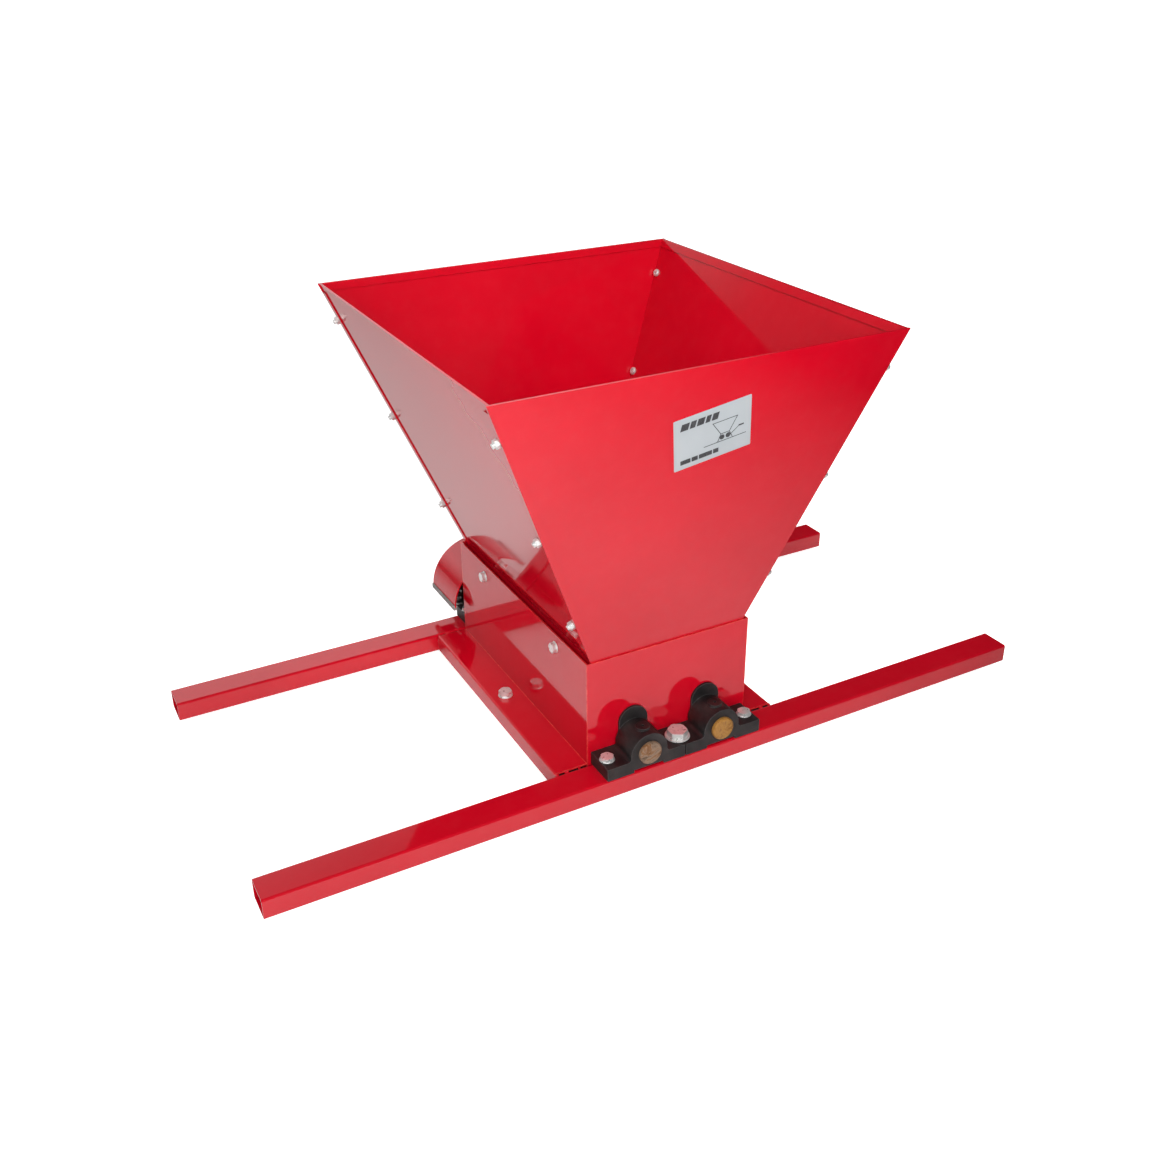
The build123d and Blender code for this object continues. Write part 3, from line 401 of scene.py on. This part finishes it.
def bare_steel():
    """Turned shaft steel gone dull: grey-brown on the left shaft, ochre rust on the right one."""
    paint = Paint("bare_steel")
    spots = paint.noise(75, 9, 0.72, distortion=0.9)
    dull = paint.ramp(spots, (0.34, (0.05, 0.028, 0.016)), (0.44, (0.17, 0.11, 0.07)),
                      (0.52, (0.27, 0.19, 0.13)), (0.60, (0.21, 0.09, 0.03)), (0.68, (0.10, 0.05, 0.025)))
    ochre = paint.ramp(spots, (0.34, (0.11, 0.045, 0.012)), (0.44, (0.30, 0.14, 0.03)),
                       (0.54, (0.40, 0.20, 0.045)), (0.64, (0.20, 0.085, 0.025)))
    side = falloff(paint.tree, paint.place, (1, 0, 0), -0.02, 0.02, 0.0, 1.0)
    paint.set("Base Color", paint.mix(side, dull, ochre))
    paint.set("Metallic", paint.ramp(spots, (0.40, 0.35), (0.56, 0.1)))
    paint.set("Roughness", paint.ramp(paint.noise(220, 5, 0.6), (0.3, 0.42), (0.75, 0.66)))
    paint.bump(paint.noise(600, 5, 0.6), 0.3, 0.0003, rounding=0.0007)
    return paint.material


def gear_steel():
    """Machined grey steel, darkened by oil in patches."""
    paint = Paint("gear_steel")
    oil = paint.noise(70, 5, 0.6)
    paint.set("Base Color", paint.ramp(oil, (0.35, (0.40, 0.39, 0.38)), (0.7, (0.17, 0.155, 0.14))))
    paint.set("Metallic", 1.0)
    paint.set("Roughness", paint.ramp(oil, (0.35, 0.38), (0.7, 0.22)))
    paint.bump(paint.noise(900, 3, stretch=(1, 0.2, 1)), 0.15, 0.0002, rounding=0.0004)
    return paint.material


def roller_aluminium():
    """Cast aluminium with a pebbled skin and dull streaks along the lobes."""
    paint = Paint("roller_aluminium")
    streaks = paint.noise(90, 5, 0.6, stretch=(1, 0.12, 1))
    paint.set("Base Color", paint.ramp(streaks, (0.3, (0.60, 0.61, 0.62)), (0.7, (0.78, 0.79, 0.80))))
    paint.set("Metallic", 1.0)
    paint.set("Roughness", paint.ramp(streaks, (0.3, 0.48), (0.7, 0.34)))
    paint.bump(paint.noise(520, 5, 0.65), 0.35, 0.0005, rounding=0.0006)
    return paint.material


def grey_rubber():
    """Extruded grey edging, dusty, with fine lines along its run."""
    paint = Paint("grey_rubber")
    lines = paint.noise(1400, 2, stretch=(1, 0.02, 1))
    paint.set("Base Color", paint.ramp(paint.noise(50, 5), (0.35, (0.22, 0.215, 0.21)),
                                       (0.7, (0.32, 0.31, 0.30))))
    paint.set("Roughness", 0.72)
    paint.bump(lines, 0.2, 0.0003, rounding=0.0006)
    return paint.material


def label_foil():
    """Pale silvery film with a satin lacquer."""
    paint = Paint("label_foil")
    paint.set("Base Color", paint.ramp(paint.noise(18, 3), (0.3, (0.40, 0.43, 0.45)),
                                       (0.7, (0.44, 0.47, 0.49))))
    paint.set("Roughness", paint.ramp(paint.noise(40, 3), (0.3, 0.36), (0.7, 0.44)))
    paint.set("Metallic", 0.1)
    paint.bump(paint.noise(30, 2), 0.02, 0.0003)
    return paint.material


def label_ink():
    """Printed dark ink with slightly uneven cover."""
    paint = Paint("label_ink")
    paint.set("Base Color", paint.ramp(paint.noise(600, 4), (0.3, (0.018, 0.018, 0.020)),
                                       (0.8, (0.07, 0.07, 0.075))))
    paint.set("Roughness", 0.45)
    return paint.material


make_studio()
make_camera()

MATERIALS = {
    "red_paint": red_paint(),
    # red paint with a painted highlight on its edges and creases
    "edge_highlight_paint": red_paint("edge_highlight_paint", edge_highlight_strength=0.6),
    # red paint with painted shade on the tube ends, in the gaps between flanges and rails
    "gap_shaded_tube_paint": red_paint("gap_shaded_tube_paint", gap_shade_beyond=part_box("housing_left")[1].y),
    "zinc_plate": zinc_plate(),
    "black_plastic": black_plastic(),
    "grip_plastic": grip_plastic(),
    "bare_steel": bare_steel(),
    "gear_steel": gear_steel(),
    "roller_aluminium": roller_aluminium(),
    "grey_rubber": grey_rubber(),
    "label_foil": label_foil(),
    "label_ink": label_ink(),
}


def dress_cad_nodes():
    """Every CAD node takes the material of its record slot. The housing sheets get a painted highlight along
    their edges and creases, and the ends of the cross tubes, down in the gaps between flanges and rails, get
    painted shade."""
    for entry in frame["record"]["subparts"]:
        material = entry["material_slot"]
        # the housing sheets take the paint with the painted highlight on edges and creases
        if material == "red_paint" and entry["node"].startswith("housing_"):
            material = "edge_highlight_paint"
        # the cross tubes take the paint with painted shade at their ends
        elif entry["node"].startswith("cross_tube_"):
            material = "gap_shaded_tube_paint"
        mesh = nodes[entry["node"]].data
        mesh.materials.clear()
        mesh.materials.append(MATERIALS[material])


def soften_edges():
    """Every node's doubled vertices are joined. Moulded and machined nodes also get small rounded edges; the
    painted sheets keep their CAD bends."""
    for entry in frame["record"]["subparts"]:
        node = nodes[entry["node"]]
        weld = node.modifiers.new("weld", "WELD")
        weld.merge_threshold = SAME_SPOT
        if entry["material_slot"] in ("red_paint", "label_foil"):
            continue
        bevel = node.modifiers.new("rounded_edges", "BEVEL")
        bevel.width = 0.3 * MM
        bevel.segments = 2
        bevel.limit_method = "ANGLE"
        bevel.angle_limit = math.radians(38)
        bevel.harden_normals = True


def new_piece(name, bm, body, material):
    """A finished mesh becomes a piece that rides on a body."""
    bmesh.ops.recalc_face_normals(bm, faces=bm.faces)
    mesh = bpy.data.meshes.new(name)
    bm.to_mesh(mesh)
    bm.free()
    mesh.materials.append(MATERIALS[material])
    piece = bpy.data.objects.new(name, mesh)
    scene.collection.objects.link(piece)
    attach(piece, body)
    return piece


def bridge_rings(bm, rings):
    """Quads between neighbouring rings of vertices, and a cap on each end."""
    for first, second in zip(rings, rings[1:]):
        for index in range(len(first)):
            following = (index + 1) % len(first)
            bm.faces.new((first[index], first[following], second[following], second[index]))
    bm.faces.new(list(reversed(rings[0])))
    bm.faces.new(rings[-1])


# ------------------------------------------------------------------ weld beads
def weld_bead(bm, start, end, radius, rng):
    """A rippled bead with rounded ends, laid from start to end."""
    corners, steps_per_ripple, end_steps = 14, 6, 4
    ripple_pitch = 1.1 * radius
    start, end = Vector(start), Vector(end)
    along = (end - start).normalized()
    side = along.orthogonal().normalized()
    other = along.cross(side)
    length = (end - start).length
    ripples = max(1, round(length / ripple_pitch))
    steps = steps_per_ripple * ripples + end_steps
    lean = rng.uniform(-0.2, 0.2)
    rings = []
    for station in range(steps + 1):
        part = station / steps
        taper = max(0.12, 1 - abs(2 * part - 1) ** 5)
        ripple = 1 + 0.09 * math.sin(2 * math.pi * ripples * part + lean)
        swell = radius * math.sqrt(taper) * ripple * (1 + rng.uniform(-0.03, 0.03))
        centre = start.lerp(end, part)
        ring = []
        for corner in range(corners):
            angle = 2 * math.pi * corner / corners
            ring.append(bm.verts.new(centre + swell * (side * math.cos(angle) + other * math.sin(angle))))
        rings.append(ring)
    bridge_rings(bm, rings)


def weld_piece(name, bm):
    """Painted beads become one smooth piece on the frame."""
    piece = new_piece(name, bm, "frame", "red_paint")
    for face in piece.data.polygons:
        face.use_smooth = True


def inner_wall(rail):
    """Where a rail's inner side stands, and the direction from there to the middle of the machine."""
    low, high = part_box(rail)
    return (high.y, 1) if rail == "rail_front" else (low.y, -1)


def flange_tacks():
    """Short tacks across the gap between each housing flange and the rail beside it."""
    tacks = ((0.5, 3.2), (10.2, 5.0), (25.8, 2.4))  # mm from the flange's outer edge, length in mm
    radius, depth = 1.75 * MM, 1.3 * MM
    rng = random.Random(11)
    bm = bmesh.new()
    for side in ("left", "right"):
        low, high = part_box("housing_" + side)
        outer, inner = (low.x, high.x) if side == "left" else (high.x, low.x)
        step = (inner - outer) / abs(inner - outer)
        for rail, edge in (("rail_front", low.y), ("rail_back", high.y)):
            wall, _ = inner_wall(rail)
            y = (edge + wall) / 2
            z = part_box(rail)[1].z - depth
            for offset, length in tacks:
                x = outer + step * offset * MM
                weld_bead(bm, (x, y, z), (x + step * length * MM, y, z), radius, rng)
    weld_piece("flange_tacks", bm)


def tube_welds():
    """Fillet beads up both sides and along the underside of each cross tube, where it meets the rails."""
    radius, off_wall = 1.9 * MM, 0.4 * MM
    from_bottom, from_top, from_side = 2 * MM, 3 * MM, 3 * MM
    rng = random.Random(12)
    bm = bmesh.new()
    for tube in ("cross_tube_left", "cross_tube_right"):
        low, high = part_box(tube)
        for rail in ("rail_front", "rail_back"):
            wall, inwards = inner_wall(rail)
            y = wall + inwards * off_wall
            for x in (low.x, high.x):
                weld_bead(bm, (x, y, low.z + from_bottom), (x, y, high.z - from_top), radius, rng)
            weld_bead(bm, (low.x + from_side, y, low.z), (high.x - from_side, y, low.z), radius, rng)
    weld_piece("tube_welds", bm)


# ------------------------------------------------------------------ printing on the label
def label_plane():
    """Origin at the plate's lower left corner, with across, up and outward directions, and its size."""
    bm = bmesh.new()
    bm.from_mesh(nodes["label_plate"].data)
    bmesh.ops.remove_doubles(bm, verts=bm.verts, dist=SAME_SPOT)
    facing_front = (face for face in bm.faces if face.normal.y < 0)
    outward = max(facing_front, key=lambda face: face.calc_area()).normal.copy()
    front = {face for face in bm.faces if face.normal.dot(outward) > 0.999}
    rim = [edge for edge in bm.edges if sum(face in front for face in edge.link_faces) == 1]
    longest = max(rim, key=lambda edge: edge.calc_length())
    across = (longest.verts[1].co - longest.verts[0].co).normalized()
    across = across if across.x > 0 else -across
    up = outward.cross(across)
    points = [vert.co for face in front for vert in face.verts]
    left, right = min(p.dot(across) for p in points), max(p.dot(across) for p in points)
    bottom, top = min(p.dot(up) for p in points), max(p.dot(up) for p in points)
    origin = across * left + up * bottom + outward * points[0].dot(outward)
    bm.free()
    return origin, across, up, outward, right - left, top - bottom


class Print:
    """Thin raised ink on the label. Places are millimetres from the plate's lower left corner."""

    thickness = 0.06 * MM

    def __init__(self):
        self.origin, self.across, self.up, self.outward, width, height = label_plane()
        self.width, self.height = width / MM, height / MM
        self.bm = bmesh.new()

    def spot(self, u, v, lift):
        """The point at u, v on the plate, raised by lift metres."""
        return self.origin + self.across * u * MM + self.up * v * MM + self.outward * lift

    def outline(self, points):
        """A flat patch of ink with the given corners."""
        low = [self.bm.verts.new(self.spot(u, v, 0)) for u, v in points]
        high = [self.bm.verts.new(self.spot(u, v, self.thickness)) for u, v in points]
        bridge_rings(self.bm, [low, high])

    def bar(self, u, v, width, height, slant=0.0):
        """A solid block, leaning like slanted type."""
        shift = slant * height
        self.outline([(u, v), (u + width, v), (u + width + shift, v + height), (u + shift, v + height)])

    def stroke(self, start, end, width):
        """A straight drawn line."""
        direction = (Vector(end) - Vector(start)).normalized() * width / 2
        side = Vector((-direction.y, direction.x))
        self.outline([Vector(start) - side - direction, Vector(end) - side + direction,
                      Vector(end) + side + direction, Vector(start) + side - direction])

    def disc(self, u, v, radius):
        """A round patch about u, v."""
        corners = 28
        self.outline([(u + radius * math.cos(2 * math.pi * i / corners),
                       v + radius * math.sin(2 * math.pi * i / corners)) for i in range(corners)])


def label_print():
    """Plain blocks in place of the wording, and a line drawing of a funnel over two rollers."""
    ink = Print()
    margin = 0.08 * ink.width
    title_height, title_v = 0.13 * ink.height, 0.76 * ink.height
    u = margin
    for share in (0.10, 0.07, 0.09, 0.06, 0.08):
        ink.bar(u, title_v, share * ink.width, title_height, slant=0.3)
        u += (share + 0.02) * ink.width
    foot_height, foot_v = 0.085 * ink.height, 0.09 * ink.height
    u = margin
    for share in (0.13, 0.08, 0.17, 0.07):
        ink.bar(u, foot_v, share * ink.width, foot_height)
        u += (share + 0.015) * ink.width

    middle, base = 0.66 * ink.width, 0.34 * ink.height
    mouth, throat, depth = 13.0, 4.5, 14.0
    line = 0.7
    neck, ground = base + 5.0, base - 3.0
    roller_offset, roller_radius, roller_v = 3.2, 2.6, base + 1.2
    leg_spread, ground_reach = 8.0, 22.0
    crank_start, crank_end, crank_v, grip_end, grip_line = 5.8, 15.0, base + 7.5, 19.0, 1.6
    funnel = [(middle - mouth, neck + depth), (middle + mouth, neck + depth),
              (middle + throat, neck), (middle - throat, neck)]
    for start, end in zip(funnel, funnel[1:] + funnel[:1]):
        ink.stroke(start, end, line)
    for side in (-1, 1):
        ink.disc(middle + side * roller_offset, roller_v, roller_radius)
        ink.stroke((middle + side * throat, neck), (middle + side * leg_spread, ground), line)
    ink.stroke((middle - ground_reach, ground), (middle + ground_reach, ground), line)
    ink.stroke((middle + crank_start, roller_v), (middle + crank_end, crank_v), line)
    ink.stroke((middle + crank_end, crank_v), (middle + grip_end, crank_v), grip_line)
    new_piece("label_print", ink.bm, "frame", "label_ink")


dress_cad_nodes()
soften_edges()
flange_tacks()
tube_welds()
label_print()
